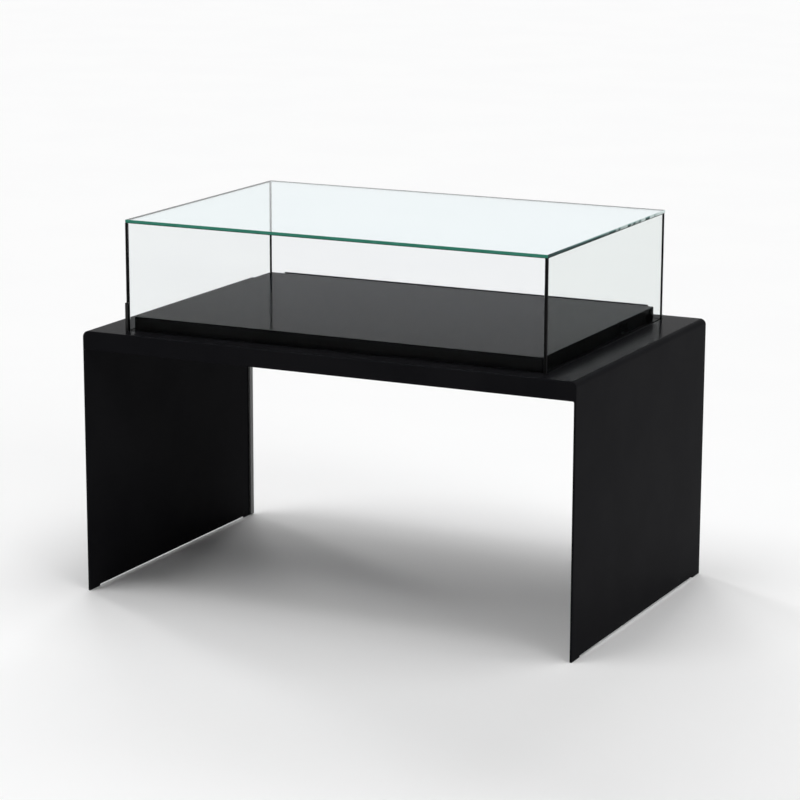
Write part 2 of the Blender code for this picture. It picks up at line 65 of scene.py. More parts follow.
# Table: the bent plate with its welded aprons, its edges, its feet and its holes.
PLATE = 0.006
BEND = 0.015
BEND_STEPS = 10
LONG_EDGE = 0.004
LEG_EDGE = 0.001
LONG_EDGE_STEPS = 6
RIM_ARRIS = 0.0006
WELD = 0.004
FOOT_LENGTH = 0.050
FOOT_NOTCH = 0.0027
BOLT_HOLE = 0.0025
SCREW_HOLE = 0.0023

# Places where the table's long faces are divided: along the top, down the legs, and across them.
TOP_STATION = 0.29
TOP_END_STATION = 0.64
LEG_STATIONS = (0.48, 0.30, 0.12)
FOOT_STATION = 4 * FOOT_NOTCH
MIDDLE_LINE = 0.2

# Groove in the table's top, under the walls of the hood. Its sides lean by STEEP.
GROOVE_DEPTH = 0.0038
GROOVE_OUTSIDE = 0.001
GROOVE_INSIDE = 0.0016
STEEP = 0.00015

# Deck: a folded sheet. The hem is a little thinner, so that the corners inside keep a radius.
DECK_SHEET = 0.003
DECK_HEM = 0.98
DECK_FOLD = 0.0016
DECK_FOLD_STEPS = 4
DECK_CORNER_STEPS = 3

# Gaskets: the flat part and the ribs as shares of the height.
GASKET_BASE = 0.62
GASKET_RIB = 0.38
GASKET_RIBS = 3
GASKET_POINTS = 25

# Cable cover: its sheet, and how far its lips, outer corners and inner corners are eased.
COVER_WALL = 0.0012
COVER_LIP = 0.0002
COVER_OUTER = 0.0014
COVER_INNER = 0.0005
COVER_STEPS = 4

# Plates with rounded corners across them and rounded edges along both faces.
PAD_EDGES = {"corner": 0.0014, "edge": 0.0003, "corner_steps": 4, "edge_steps": 2}
BATTEN_EDGES = {"corner": 0.0015, "edge": 0.0008, "corner_steps": 3, "edge_steps": 2}
RIB_EDGES = {"corner": 0.0020, "edge": 0.0006, "corner_steps": 4, "edge_steps": 3}
BEAD_EDGES = {"corner": 0.0005, "edge": 0.0003, "corner_steps": 4, "edge_steps": 2}

# Hood: arrises of the panes, walls with a black bond along the top, and extra width of a bead in x.
GLASS_ARRIS = 0.0006
TOP_ARRIS = 0.0011
BLACK_BONDS = ("front", "left", "right")
BEAD_SWELL = {"rear_left": 0.0012}

# Hinge: knuckles of both leaves on one pin, the leaves' thickness, and the wedges' eased corners.
KNUCKLES = 21
KNUCKLE_RADIUS = 0.005
KNUCKLE_BORE = 0.0022
KNUCKLE_GAP = 0.0004
KNUCKLE_NOTCH = 0.006
KNUCKLE_EASE = 0.0004
LEAF = 0.003
WEDGE_EASE = 0.0007
WEDGE_STEPS = 3

# Lock case: its rounded outside, and the bore with a widened mouth.
LOCK_CORNER = 0.0014
LOCK_CORNER_STEPS = 7
LOCK_EASE = 0.0005
LOCK_BORE = 0.0029
LOCK_MOUTH = 1.06
LOCK_MOUTH_DEPTH = 0.0003

# Where finishes change, on Object coordinates: start and end of each change.
SCUFFED_Z = (0.004, 0.035)
# Deck: where the painted sheen on the deck's top grows towards the rear, and the height of the top.
DECK_SHEEN_Y = (-0.37, 0.37)
DECK_SHEEN_TOP_Z = (0.7400, 0.7425)
# Lid edge: where painted shade begins behind the front, and where the painted highlights and glints lie on the
# right-hand edge.
LID_FRONT_Y = (-0.3930, -0.3920)
LID_RIGHT_X = (0.5955, 0.5965)
LID_GLINTS_Y = (-0.08, 0.20)
LID_REAR_Y = (0.27, 0.36)
LID_RISING_Y = (-0.38, -0.10)
LID_RISING_Z = (0.9985, 1.0015)

# Surroundings: the floor's half size, and the world's light on surfaces and as it is seen.
FLOOR_REACH = 80.0
WORLD_FILL = 0.04
WORLD_WHITE = 0.97

# Lamps: strength, width, elevation and azimuth, the last three in degrees.
LAMPS = {
    "overhead": (0.375, 26, 86, 0),
    "overhead_right": (0.508, 28, 66, 86),
    "overhead_rear_right": (0.528, 28, 65, 132),
    "overhead_left": (0.802, 30, 66, 313),
    "front_right": (0.213, 24, 45, 45),
    "low_front_right": (0.254, 18, 28, 60),
    "rear": (0.416, 14, 36, 195),
    "behind": (0.528, 16, 36, 213),
    "low_behind": (0.995, 12, 16, 240),
}


def box(node):
    """Lowest and highest corner of a CAD node, as arrays."""
    low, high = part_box(node)
    return np.array(low), np.array(high)


def quads(rows, columns, rows_closed=False):
    """Corner numbers of the quads on a grid of rows by columns, closed round the columns."""
    row = np.arange(rows if rows_closed else rows - 1)[:, None]
    column = np.arange(columns)[None, :]
    after = (column + 1) % columns
    below = (row + 1) % rows
    corners = [
        row * columns + column,
        row * columns + after,
        below * columns + after,
        below * columns + column,
    ]
    return np.stack(np.broadcast_arrays(*corners), axis=-1).reshape(-1, 4)


def lofted(rings):
    """A closed body: each ring is joined to the next by quads, and the first and last are filled.

    The two filled rings are its last two faces.
    """
    rows, columns = rings.shape[:2]
    count = np.arange(columns)
    faces = quads(rows, columns).tolist()
    faces.append(count.tolist())
    faces.append((count + (rows - 1) * columns).tolist())
    return rings.reshape(-1, 3), faces


def joined(*bodies):
    """Several bodies as one list of points and faces.

    The face numbers of each body are moved past the points of those before it.
    """
    starts = np.cumsum([0] + [len(points) for points, _ in bodies])
    points = np.concatenate([points for points, _ in bodies])
    faces = [
        (np.array(face) + start).tolist()
        for start, (_, body) in zip(starts, bodies)
        for face in body
    ]
    return points, faces


def add_piece(name, shape, body, finishes, stands_for=(), face_finish=None):
    """A mesh from points and faces, doubles merged, faces outward, smooth up to the sharp angle."""
    points, faces = shape
    mesh = bpy.data.meshes.new(name)
    mesh.from_pydata(points.tolist(), [], faces)
    if face_finish is not None:
        mesh.polygons.foreach_set("material_index", np.asarray(face_finish, dtype=np.int32))
    shell = bmesh.new()
    shell.from_mesh(mesh)
    bmesh.ops.remove_doubles(shell, verts=shell.verts, dist=SAME_POINT)
    bmesh.ops.dissolve_degenerate(shell, edges=shell.edges, dist=SAME_POINT)
    bmesh.ops.recalc_face_normals(shell, faces=shell.faces)
    shell.to_mesh(mesh)
    shell.free()
    for finish in finishes:
        mesh.materials.append(finish)
    smooth_to_angle(mesh)
    piece = bpy.data.objects.new(name, mesh)
    bpy.context.scene.collection.objects.link(piece)
    flats = piece.modifiers.new(FLATS, "WEIGHTED_NORMAL")
    flats.keep_sharp = True
    flats.weight = 100
    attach(piece, body)
    if stands_for:
        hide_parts(*stands_for)
    return piece


def smooth_to_angle(mesh):
    """Smooth shading, broken at the edges that turn by more than the sharp angle."""
    mesh.polygons.foreach_set("use_smooth", np.ones(len(mesh.polygons), dtype=bool))
    mesh.set_sharp_from_angle(angle=SHARP)


def drill(piece, centres, radius, low, high):
    """Cuts upright round holes through a piece.

    Each is a circle of points about its centre, carried from the low level to the high one.
    """
    turn = np.linspace(0, 2 * math.pi, ROUND_SIDES, endpoint=False)
    circle = radius * np.stack([np.cos(turn), np.sin(turn)], axis=-1)
    level = np.broadcast_to(np.array([low, high])[:, None, None], (2, ROUND_SIDES, 1))
    bodies = []
    for centre in centres:
        ring = np.broadcast_to(centre + circle, (2, ROUND_SIDES, 2))
        bodies.append(lofted(np.concatenate([ring, level], axis=-1)))
    points, faces = joined(*bodies)
    mesh = bpy.data.meshes.new("drill")
    mesh.from_pydata(points.tolist(), [], faces)
    cutter = bpy.data.objects.new("drill", mesh)
    bpy.context.scene.collection.objects.link(cutter)
    cut = piece.modifiers.new("holes", "BOOLEAN")
    cut.object = cutter
    cut.solver = "EXACT"
    piece.modifiers[FLATS].show_viewport = False
    bpy.context.view_layer.update()
    graph = bpy.context.evaluated_depsgraph_get()
    drilled = bpy.data.meshes.new_from_object(piece.evaluated_get(graph))
    piece.modifiers[FLATS].show_viewport = True
    piece.modifiers.remove(cut)
    piece.data = drilled
    bpy.data.objects.remove(cutter)
    smooth_to_angle(drilled)


def corner_fan(half, corner, steps):
    """Centres and outward directions of the points round a rectangle's rounded corners."""
    turn = np.arange(4)[:, None] * math.pi / 2 + np.linspace(0, math.pi / 2, steps + 1)
    direction = np.stack([np.cos(turn), np.sin(turn)], axis=-1).reshape(-1, 2)
    signs = np.array([[1, 1], [-1, 1], [-1, -1], [1, -1]])
    centre = np.repeat(signs * (half - corner), steps + 1, axis=0)
    return centre, direction


def plate(low, high, axis, corner, edge, corner_steps=1, edge_steps=1):
    """A plate: a rounded rectangle carried across its thickness and drawn in at both faces.

    At the turn t of the edge's quarter circle the outline is drawn in by e(1 - sin t), at the
    height e(1 - cos t).
    """
    across = [i for i in range(3) if i != axis]
    half = (high - low) / 2
    centre, direction = corner_fan(half[across], corner, corner_steps)
    turn = np.linspace(0, math.pi / 2, edge_steps + 1)
    inset = edge * (1 - np.sin(turn))
    rise = edge * (1 - np.cos(turn))
    inset = np.concatenate([inset, inset[::-1]])
    level = np.concatenate([low[axis] + rise, high[axis] - rise[::-1]])
    middle = (low + half)[across]
    rings = np.empty((len(level), len(centre), 3))
    rings[..., across] = middle + centre + (corner - inset)[:, None, None] * direction
    rings[..., axis] = level[:, None]
    return lofted(rings)


def eased(corners, setback, steps):
    """A polygon with each corner P eased from A to B, a setback along its two sides.

    The points on the way are (1 - t)^2 A + 2t(1 - t) P + t^2 B.
    """
    before = np.roll(corners, 1, axis=0) - corners
    after = np.roll(corners, -1, axis=0) - corners
    setback = np.broadcast_to(setback, len(corners))[:, None]
    start = corners + setback * before / np.linalg.norm(before, axis=1, keepdims=True)
    end = corners + setback * after / np.linalg.norm(after, axis=1, keepdims=True)
    t = np.linspace(0, 1, steps + 1)[None, :, None]
    at_corner = 2 * t * (1 - t) * corners[:, None]
    curve = (1 - t) ** 2 * start[:, None] + at_corner + t**2 * end[:, None]
    return curve.reshape(-1, 2)


def extruded(profile, axis, start, end):
    """A closed profile on the two other axes, carried straight from start to end along one axis."""
    across = [i for i in range(3) if i != axis]
    rings = np.empty((2, len(profile), 3))
    rings[..., across] = profile
    rings[..., axis] = np.array([start, end])[:, None]
    return lofted(rings)


def portal(low, high, apron_bottom, groove_x):
    """Stations along the bent plate, from the left foot over the top to the right foot, in x and z.

    Gives the outer face, the unit normal into the plate, and the lower end of the front and rear
    faces: along the apron, round its weld, then down the inside of the leg.
    """
    reach, top = high[X], high[Z]
    turn = np.linspace(0, math.pi / 2, BEND_STEPS + 1)
    out = np.stack([np.sin(turn), np.cos(turn)], axis=-1)
    inner, outer = groove_x
    groove_sides = [inner - STEEP, inner, outer, outer + STEEP]
    flat_x = np.array([0, TOP_STATION] + groove_sides + [TOP_END_STATION])
    leg_z = np.array([apron_bottom - WELD, *LEG_STATIONS, low[Z] + FOOT_STATION, low[Z]])
    on_top = np.stack([flat_x, np.full_like(flat_x, top)], axis=-1)
    on_leg = np.stack([np.full_like(leg_z, reach), leg_z], axis=-1)
    skin = np.concatenate([on_top, np.array([reach - BEND, top - BEND]) + BEND * out, on_leg])
    up = np.broadcast_to([0.0, 1.0], on_top.shape)
    side = np.broadcast_to([1.0, 0.0], on_leg.shape)
    inward = -np.concatenate([up, out, side])
    under = np.stack([flat_x, np.full_like(flat_x, apron_bottom)], axis=-1)
    weld = np.array([reach - PLATE - WELD, apron_bottom - WELD]) + WELD * out
    rim = np.concatenate([under, weld, on_leg - np.array([PLATE, 0])])
    flip = np.array([-1.0, 1.0])
    return [np.concatenate([half[:0:-1] * flip, half]) for half in (skin, inward, rim)]


def table_body():
    """The welded table: one closed section of lines along Y, carried round the portal.

    The section runs over the outer face with the groove pressed into it, round the rear edge, down
    the rear apron, back along the inside, and up the front. The feet are closed by quads from outer
    to inner lines.
    """
    low, high = box("table_shell")
    apron_low, _ = box("front_apron")
    glass_low, glass_high = box("glass_left")
    hood_low, _ = box("glass_top")
    half = high[Y]
    groove_x = (-glass_high[X] - GROOVE_INSIDE, -glass_low[X] + GROOVE_OUTSIDE)
    wall = glass_high[X] - glass_low[X]
    groove_y = (-hood_low[Y] - wall - GROOVE_INSIDE, -hood_low[Y] + GROOVE_OUTSIDE)
    skin, inward, rim = portal(low, high, apron_low[Z], groove_x)

    foot = half - FOOT_LENGTH
    groove_sides = [groove_y[0] - STEEP, groove_y[0], groove_y[1], groove_y[1] + STEEP]
    lines = np.array([0, MIDDLE_LINE] + groove_sides + [foot - STEEP, foot, half])
    line_y = np.concatenate([-lines[:0:-1], lines])
    inner_y = np.clip(line_y, PLATE - half, half - PLATE)
    radius = LEG_EDGE - (LONG_EDGE - LEG_EDGE) * inward[:, 1:]
    outer_y = np.clip(line_y, radius - half, half - radius)

    def at(place, y):
        place = place[:, None] if place.ndim == 2 else place
        return np.stack(np.broadcast_arrays(place[..., 0], y, place[..., 1]), axis=-1)

    outer = at(skin, outer_y)
    out_x, out_y = abs(outer[..., X]), abs(outer[..., Y])
    in_groove = (out_x <= groove_x[1] + SAME_POINT) & (out_y <= groove_y[1] + SAME_POINT)
    on_field = (out_x < groove_x[0] - SAME_POINT) & (out_y < groove_y[0] - SAME_POINT)
    on_top = outer[..., Z] > high[Z] - SAME_POINT
    outer[..., Z] -= GROOVE_DEPTH * (in_groove & ~on_field & on_top)

    turn = np.linspace(0, math.pi / 2, LONG_EDGE_STEPS + 1)[1:]
    edge = skin[:, None] + inward[:, None] * (radius * (1 - np.cos(turn)))[..., None]
    rear_edge = at(edge, half - radius * (1 - np.sin(turn)))
    to_skin = skin + radius * inward - rim
    to_skin /= np.linalg.norm(to_skin, axis=1, keepdims=True)
    arris = at(rim + RIM_ARRIS * to_skin, half)
    rear_rim = [arris, at(rim, half - RIM_ARRIS), at(rim, half - PLATE)]
    rear = np.concatenate([rear_edge] + rear_rim, axis=1)
    front = rear[:, ::-1] * np.array([1, -1, 1])
    inner = at(skin + PLATE * inward, inner_y[::-1])
    section = np.concatenate([outer, rear, inner, front], axis=1)
    ends = section[[0, -1]]
    between_feet = abs(ends[..., Y]) < foot - STEEP / 2
    ends[..., Z] = np.where(between_feet, low[Z] + FOOT_NOTCH, low[Z])
    section[[0, -1]] = ends

    rows, columns = section.shape[:2]
    faces = quads(rows, columns).tolist()
    count = len(line_y)
    first_inner = count + rear.shape[1]
    last_inner = first_inner + count - 1
    line = np.arange(count - 1)
    sole = np.stack([line, line + 1, last_inner - 1 - line, last_inner - line], axis=-1)
    rear_end = np.arange(count - 1, first_inner + 1)
    front_end = np.append(np.arange(last_inner, columns), 0)
    for start in (0, (rows - 1) * columns):
        faces += (sole + start).tolist()
        faces += [(rear_end + start).tolist(), (front_end + start).tolist()]
    return section.reshape(-1, 3), faces


def deck_cover():
    """The folded deck: rings over the top edge's fold, down the sides, under the hem and up inside.

    At the turn t of the fold's quarter circle a ring is drawn in by f(1 - sin t), and lies
    f(1 - cos t) below the top.
    """
    low, high = box("deck_tray")
    half = ((high - low) / 2)[:2]
    middle = ((high + low) / 2)[:2]
    centre, direction = corner_fan(half, DECK_SHEET, DECK_CORNER_STEPS)
    turn = np.linspace(0, math.pi / 2, DECK_FOLD_STEPS + 1)
    hem = DECK_SHEET * DECK_HEM
    inset = np.concatenate([DECK_FOLD * (1 - np.sin(turn)), [0, hem, hem]])
    fold = high[Z] - DECK_FOLD * (1 - np.cos(turn))
    level = np.concatenate([fold, [low[Z], low[Z], high[Z] - DECK_SHEET]])
    rings = np.empty((len(level), len(centre), 3))
    rings[..., :2] = middle + centre + (DECK_SHEET - inset)[:, None, None] * direction
    rings[..., Z] = level[:, None]
    return lofted(rings)


def ribbed_gasket(node, axis):
    """A strip with three low ribs, carried along the groove.

    Its height across the width u is base + rib |cos 3 pi u|.
    """
    low, high = box(node)
    across = 1 - axis
    u = np.linspace(-0.5, 0.5, GASKET_POINTS)
    height = high[Z] - low[Z]
    wave = abs(np.cos(GASKET_RIBS * math.pi * u))
    ribs = low[Z] + height * (GASKET_BASE + GASKET_RIB * wave)
    width = low[across] + (high[across] - low[across]) * (u + 0.5)
    top = np.stack([width, ribs], axis=-1)
    base = np.stack([width[[-1, 0]], np.full(2, low[Z])], axis=-1)
    return extruded(np.concatenate([top, base]), axis, low[axis], high[axis])


def channel_cover():
    """A shallow U of sheet with eased corners, open to the leg, carried up its rear edge."""
    low, high = box("cable_cover")
    near, far = low[X], high[X]
    front, rear = low[Y], high[Y]
    outside = [[near, front], [far, front], [far, rear], [near, rear]]
    inside = [
        [near, rear - COVER_WALL],
        [far - COVER_WALL, rear - COVER_WALL],
        [far - COVER_WALL, front + COVER_WALL],
        [near, front + COVER_WALL],
    ]
    outside_ease = [COVER_LIP, COVER_OUTER, COVER_OUTER, COVER_LIP]
    inside_ease = [COVER_LIP, COVER_INNER, COVER_INNER, COVER_LIP]
    setback = np.array(outside_ease + inside_ease)
    profile = eased(np.array(outside + inside), setback, COVER_STEPS)
    return extruded(profile, Z, low[Z], high[Z])


def stop_wedge(node):
    """A rubber wedge: its sloping section with eased corners, carried along the hinge."""
    low, high = box(node)
    vertices = cad_nodes[node].data.vertices
    mesh_points = np.empty(3 * len(vertices))
    vertices.foreach_get("co", mesh_points)
    mesh_points = mesh_points.reshape(-1, 3)
    near_top = mesh_points[mesh_points[:, Y] < low[Y] + SAME_PLANE][:, Z].max()
    far_top = mesh_points[mesh_points[:, Y] > high[Y] - SAME_PLANE][:, Z].max()
    base = [[low[Y], low[Z]], [high[Y], low[Z]]]
    corners = np.array(base + [[high[Y], far_top], [low[Y], near_top]])
    return extruded(eased(corners, WEDGE_EASE, WEDGE_STEPS), X, low[X], high[X])


def knuckle_ends(own):
    """Lower and upper x of every second knuckle, from the first or the second one."""
    low, high = box("hinge_moving_leaf")
    pitch = (high[X] - low[X]) / KNUCKLES
    index = np.arange(own, KNUCKLES, 2)
    start = low[X] + index * pitch + KNUCKLE_GAP / 2
    end = start + pitch - KNUCKLE_GAP
    start[index == 0] = low[X]
    end[index == KNUCKLES - 1] = high[X]
    return start, end


def hinge_leaf(own, flat_axis, near, far, outer_end):
    """A rolled leaf: bored barrels, each a section of six corners turned round the pin, and a flat.

    The flat's edge is stepped: it reaches the barrels at its own knuckles and stops short at the
    others.
    """
    hood_joint = next(joint for joint in frame["joints"] if joint["name"] == "hood_tilt")
    axis_y, axis_z = hood_joint["pos_m"][1:]
    start, end = knuckle_ends(own)
    rounded = [start + KNUCKLE_EASE, end - KNUCKLE_EASE]
    along = np.stack([start, start] + rounded + [end, end], axis=-1)
    eased_radius = KNUCKLE_RADIUS - KNUCKLE_EASE
    half_section = [KNUCKLE_BORE, eased_radius, KNUCKLE_RADIUS]
    radius = np.array(half_section + half_section[::-1])
    turn = np.linspace(0, 2 * math.pi, ROUND_SIDES, endpoint=False)
    shape = (len(start), len(radius), ROUND_SIDES)
    x = np.broadcast_to(along[:, :, None], shape)
    y = np.broadcast_to(axis_y + radius[:, None] * np.cos(turn), shape)
    z = np.broadcast_to(axis_z + radius[:, None] * np.sin(turn), shape)
    barrels = np.stack([x, y, z], axis=-1)
    ring_faces = quads(len(radius), ROUND_SIDES, rows_closed=True)
    offset = np.arange(len(start))[:, None, None] * len(radius) * ROUND_SIDES
    barrel_faces = (ring_faces[None] + offset).reshape(-1, 4).tolist()

    axis_level = axis_z if flat_axis == Y else axis_y
    low, high = box("hinge_moving_leaf")
    step_x = np.stack([start, start, end, end], axis=-1).reshape(-1)
    notch = axis_level + KNUCKLE_NOTCH
    root = axis_level + KNUCKLE_BORE
    step_level = np.tile([notch, root, root, notch], len(start))
    edge = np.stack([step_x, step_level], axis=-1)
    far_end = [[high[X], notch], [high[X], outer_end]]
    near_end = [[low[X], outer_end], [low[X], notch]]
    outline = np.concatenate([edge, np.array(far_end + near_end)])
    kept = np.any(abs(outline - np.roll(outline, 1, axis=0)) > SAME_POINT, axis=1)
    flat = extruded(outline[kept], flat_axis, near, far)
    return joined((barrels.reshape(-1, 3), barrel_faces), flat)


def lock_body():
    """The lock's case: rings up its square outside, over the top to the bore, and down inside.

    The bore's points are r (cos a, sin a), at the angles a of the outside's points.
    """
    low, high = box("lock_housing")
    half = ((high - low) / 2)[:2]
    middle = ((high + low) / 2)[:2]
    centre, direction = corner_fan(half, LOCK_CORNER, LOCK_CORNER_STEPS)
    angle = np.arctan2(*(centre + LOCK_CORNER * direction).T[::-1])
    circle = LOCK_BORE * np.stack([np.cos(angle), np.sin(angle)], axis=-1)
    insets = (LOCK_EASE, 0, 0, LOCK_EASE)
    square = [centre + (LOCK_CORNER - inset) * direction for inset in insets]
    loops = np.stack(square + [circle * LOCK_MOUTH, circle, circle])
    outside_level = [low[Z], low[Z] + LOCK_EASE, high[Z] - LOCK_EASE, high[Z]]
    level = np.array(outside_level + [high[Z], high[Z] - LOCK_MOUTH_DEPTH, low[Z]])
    rings = np.empty((len(level), len(centre), 3))
    rings[..., :2] = middle + loops
    rings[..., Z] = level[:, None]
    rows, columns = rings.shape[:2]
    return rings.reshape(-1, 3), quads(rows, columns, rows_closed=True).tolist()


class Finish:
    """A Principled material with its patterns on Object coordinates."""

    def __init__(self, name, **constants):
        self.material = bpy.data.materials.new(name)
        self.material.use_nodes = True
        self.tree = self.material.node_tree
        self.shader = self.tree.nodes["Principled BSDF"]
        for socket, value in constants.items():
            self.shader.inputs[socket.replace("_", " ")].default_value = value
        self.place = self.tree.nodes.new("ShaderNodeTexCoord").outputs["Object"]

    def link(self, source, target):
        """Links an output to a socket, or sets the socket to a plain value."""
        if hasattr(source, "is_output"):
            self.tree.links.new(source, target)
        else:
            target.default_value = source

    def stretched(self, scale):
        mapping = self.tree.nodes.new("ShaderNodeMapping")
        self.link(self.place, mapping.inputs["Vector"])
        mapping.inputs["Scale"].default_value = scale
        return mapping.outputs["Vector"]

    def grain(self, scale, detail=3.0, stretch=None):
        noise = self.tree.nodes.new("ShaderNodeTexNoise")
        self.link(self.stretched(stretch) if stretch else self.place, noise.inputs["Vector"])
        noise.inputs["Scale"].default_value = scale
        noise.inputs["Detail"].default_value = detail
        return noise.outputs["Fac"]

    def axis(self, name):
        split = self.tree.nodes.new("ShaderNodeSeparateXYZ")
        self.link(self.place, split.inputs["Vector"])
        return split.outputs[name]

    def ranged(self, value, low, high, to_low=0.0, to_high=1.0):
        """A smooth step from to_low, at or below low, to to_high, at or above high."""
        spread = self.tree.nodes.new("ShaderNodeMapRange")
        spread.interpolation_type = "SMOOTHSTEP"
        self.link(value, spread.inputs["Value"])
        limits = {"From Min": low, "From Max": high, "To Min": to_low, "To Max": to_high}
        for socket, number in limits.items():
            spread.inputs[socket].default_value = number
        return spread.outputs["Result"]

    def combined(self, operation, first, second):
        step = self.tree.nodes.new("ShaderNodeMath")
        step.operation = operation
        self.link(first, step.inputs[0])
        self.link(second, step.inputs[1])
        return step.outputs["Value"]

    def mixed(self, factor, first, second):
        blend = self.tree.nodes.new("ShaderNodeMix")
        blend.data_type = "RGBA"
        self.link(factor, blend.inputs["Factor"])
        self.link(first, blend.inputs["A"])
        self.link(second, blend.inputs["B"])
        return blend.outputs["Result"]

    def set(self, socket, source):
        self.link(source, self.shader.inputs[socket])

    def bump(self, height, strength, distance):
        relief = self.tree.nodes.new("ShaderNodeBump")
        relief.inputs["Strength"].default_value = strength
        relief.inputs["Distance"].default_value = distance
        self.link(height, relief.inputs["Height"])
        self.set("Normal", relief.outputs["Normal"])


def black_powder_coat():
    """Satin black coat with a fine orange peel, and a little dust and scuffing on the feet."""
    coat = Finish("black_powder_coat", IOR=1.036)
    cloud = coat.ranged(coat.grain(6.0), 0.35, 0.65)
    colour = coat.mixed(cloud, (0.0084, 0.0084, 0.0098, 1), (0.0102, 0.0102, 0.0116, 1))
    near_floor = coat.ranged(coat.axis("Z"), *SCUFFED_Z, 1.0, 0.0)
    worn = coat.ranged(coat.grain(70.0, 6.0), 0.52, 0.72, 0.0, 0.5)
    scuff = coat.combined("MULTIPLY", near_floor, worn)
    coat.set("Base Color", coat.mixed(scuff, colour, (0.028, 0.028, 0.028, 1)))
    coat.set("Roughness", coat.ranged(coat.grain(240.0, 2.0), 0.3, 0.7, 0.13, 0.22))
    coat.bump(coat.grain(620.0, 1.0), 0.06, 0.0002)
    return coat.material


def deck_lacquer():
    """Gloss black lacquer: a long, shallow wave of the sprayed film, and a faint cool painted sheen on top.

    The painted sheen grows towards the rear.
    """
    lacquer = Finish("gloss_deck_lacquer", IOR=1.048)
    cloud = lacquer.ranged(lacquer.grain(4.0, 5.0), 0.35, 0.7)
    black = lacquer.mixed(cloud, (0.0046, 0.0048, 0.0051, 1), (0.0062, 0.0064, 0.0068, 1))
    # Painted sheen: the top's colour turns lighter and bluer towards the rear, standing in for reflected light.
    to_rear = lacquer.ranged(lacquer.axis("Y"), *DECK_SHEEN_Y)
    painted_sheen = lacquer.mixed(to_rear, (0.0044, 0.0050, 0.0064, 1), (0.0100, 0.0117, 0.0148, 1))
    on_top = lacquer.ranged(lacquer.axis("Z"), *DECK_SHEEN_TOP_Z)
    lacquer.set("Base Color", lacquer.mixed(on_top, black, painted_sheen))
    lacquer.set("Roughness", lacquer.ranged(lacquer.grain(9.0, 4.0), 0.35, 0.7, 0.09, 0.14))
    lacquer.bump(lacquer.grain(38.0, 1.0), 0.02, 0.0004)
    return lacquer.material


def case_glass(name, body, cloudy, refraction):
    """Low-reflection case glass with a tinted body and a very faint cloudiness."""
    glass = Finish(name, IOR=refraction, Roughness=0.0, Transmission_Weight=1.0)
    cloud = glass.ranged(glass.grain(2.5, 4.0), 0.3, 0.7)
    glass.set("Base Color", glass.mixed(cloud, body, cloudy))
    return glass.material


def glass_edge():
    """The lid's polished edge: green in front with darker streaks, with painted shade at the left and the rear.

    The right-hand edge has a painted highlight towards its top, and painted glints in dashes towards the rear.
    """
    edge = Finish("green_glass_edge", IOR=1.12, Roughness=0.18)
    streak = edge.ranged(edge.grain(30.0, 3.0, (1, 1, 6)), 0.35, 0.65)
    green = edge.mixed(streak, (0.040, 0.235, 0.160, 1), (0.055, 0.285, 0.200, 1))
    # Painted shade: the edge turns dark teal behind the front.
    behind = edge.ranged(edge.axis("Y"), *LID_FRONT_Y)
    shaded = edge.mixed(behind, green, (0.010, 0.045, 0.043, 1))
    # Painted highlights: the right-hand edge is lit at its rear end, in glints towards the rear, and paler towards
    # its top.
    right = edge.ranged(edge.axis("X"), *LID_RIGHT_X)
    to_rear = edge.ranged(edge.axis("Y"), *LID_GLINTS_Y)
    glint_dashes = edge.ranged(edge.grain(16.0, 1.0, (0, 1, 0)), 0.46, 0.54, 0.05, 0.8)
    rear_end = edge.ranged(edge.axis("Y"), *LID_REAR_Y)
    glints_to_rear = edge.combined("MULTIPLY", to_rear, glint_dashes)
    lit = edge.combined("MULTIPLY", right, edge.combined("MAXIMUM", rear_end, glints_to_rear))
    upper = edge.ranged(edge.axis("Z"), *LID_RISING_Z, 0.0, 0.7)
    along = edge.ranged(edge.axis("Y"), *LID_RISING_Y)
    rising = edge.combined("MULTIPLY", right, edge.combined("MULTIPLY", along, upper))
    teal = edge.mixed(rising, shaded, (0.35, 0.62, 0.58, 1))
    edge.set("Base Color", edge.mixed(lit, teal, (0.80, 0.92, 0.90, 1)))
    return edge.material


def black_seal():
    """Matte black silicone with a skin of fine pits."""
    seal = Finish("black_silicone", IOR=1.15)
    cloud = seal.ranged(seal.grain(30.0), 0.35, 0.65)
    colour = seal.mixed(cloud, (0.0016, 0.0016, 0.0017, 1), (0.0030, 0.0030, 0.0032, 1))
    seal.set("Base Color", colour)
    seal.set("Roughness", seal.ranged(seal.grain(300.0), 0.3, 0.7, 0.45, 0.62))
    seal.bump(seal.grain(900.0), 0.1, 0.0002)
    return seal.material


def black_oxide():
    """Blackened steel, drawn along the hinge: long fine scratches and slightly paler wear."""
    oxide = Finish("black_oxide_steel", IOR=1.32)
    drawn = oxide.grain(60.0, 4.0, (0.25, 14, 14))
    wear = oxide.ranged(oxide.grain(45.0, 5.0), 0.55, 0.75, 0.0, 0.6)
    lines = oxide.ranged(drawn, 0.35, 0.65)
    base = oxide.mixed(lines, (0.0050, 0.0050, 0.0054, 1), (0.0085, 0.0085, 0.0090, 1))
    oxide.set("Base Color", oxide.mixed(wear, base, (0.016, 0.015, 0.015, 1)))
    oxide.set("Roughness", oxide.ranged(drawn, 0.3, 0.7, 0.30, 0.46))
    oxide.bump(drawn, 0.08, 0.0002)
    return oxide.material


def turned_steel():
    """Bright steel with fine turning marks and dulled patches."""
    steel = Finish("turned_steel", Metallic=1.0, Anisotropic=0.4)
    marks = steel.grain(220.0, 3.0, (1, 1, 5))
    dull = steel.ranged(steel.grain(120.0, 4.0), 0.4, 0.7)
    steel.set("Base Color", steel.mixed(dull, (0.56, 0.56, 0.57, 1), (0.42, 0.42, 0.43, 1)))
    steel.set("Roughness", steel.ranged(marks, 0.3, 0.7, 0.22, 0.38))
    steel.bump(marks, 0.1, 0.0001)
    return steel.material


